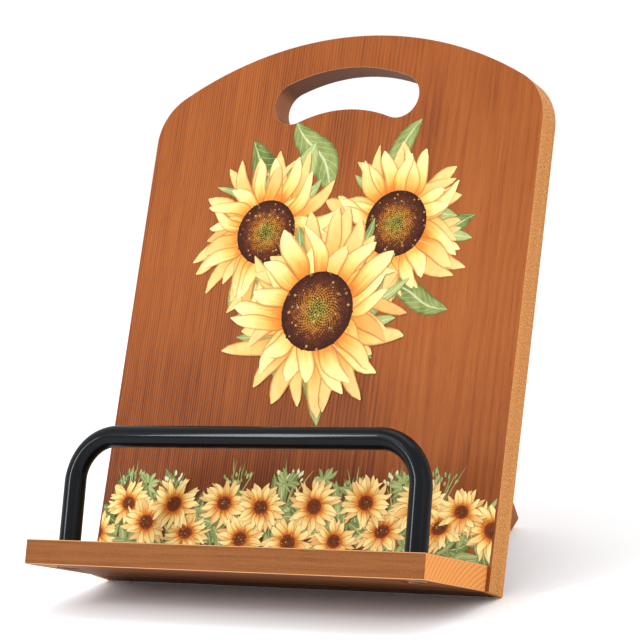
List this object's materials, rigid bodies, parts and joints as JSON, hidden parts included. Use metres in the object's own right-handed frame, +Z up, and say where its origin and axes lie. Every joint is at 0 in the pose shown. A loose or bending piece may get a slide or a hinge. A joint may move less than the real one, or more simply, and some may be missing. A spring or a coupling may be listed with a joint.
{
  "type": "book display stand",
  "caption": "Leaning wooden book stand with a crowned back board and handle slot, a front ledge, a tube page bar and a folding rear leg.",
  "frame": {"origin": "on the floor, under the middle of the stand's bounding box with the leg open", "axes": "+Z up, -Y towards the reader, +X to the reader's right"},
  "size_m": [0.24, 0.2184, 0.2782],
  "materials": {
    "stained_wood": "stained and sealed softwood, satin",
    "black_coating": "black coated steel tube, semi-gloss",
    "zinc_steel": "zinc plated",
    "brass": "plain brass, lightly dulled"
  },
  "bodies": {
    "root": {"back_board": "stained_wood", "ledge": "stained_wood", "page_bar": "black_coating", "bar_insert_left": "zinc_steel", "bar_insert_right": "zinc_steel", "bar_washer_left": "zinc_steel", "bar_washer_right": "zinc_steel", "bar_screw_left": "zinc_steel", "bar_screw_right": "zinc_steel", "ledge_screw_left": "zinc_steel", "ledge_screw_centre": "zinc_steel", "ledge_screw_right": "zinc_steel", "left_hinge_board_leaf": "brass", "left_hinge_pin": "brass", "right_hinge_board_leaf": "brass", "right_hinge_pin": "brass", "left_hinge_board_screw_inner": "brass", "left_hinge_board_screw_outer": "brass", "right_hinge_board_screw_inner": "brass", "right_hinge_board_screw_outer": "brass"},
    "leg": {"rear_leg": "stained_wood", "left_hinge_leg_leaf": "brass", "right_hinge_leg_leaf": "brass", "left_hinge_leg_screw_inner": "brass", "left_hinge_leg_screw_outer": "brass", "right_hinge_leg_screw_inner": "brass", "right_hinge_leg_screw_outer": "brass"}
  },
  "joints": [
    {"name": "leg_hinge", "type": "hinge", "parent": "root", "child": "leg", "pos_m": [0, 0.03062, 0.14495], "axis": [1, 0, 0], "range_deg": [-50, 0]}
  ]
}
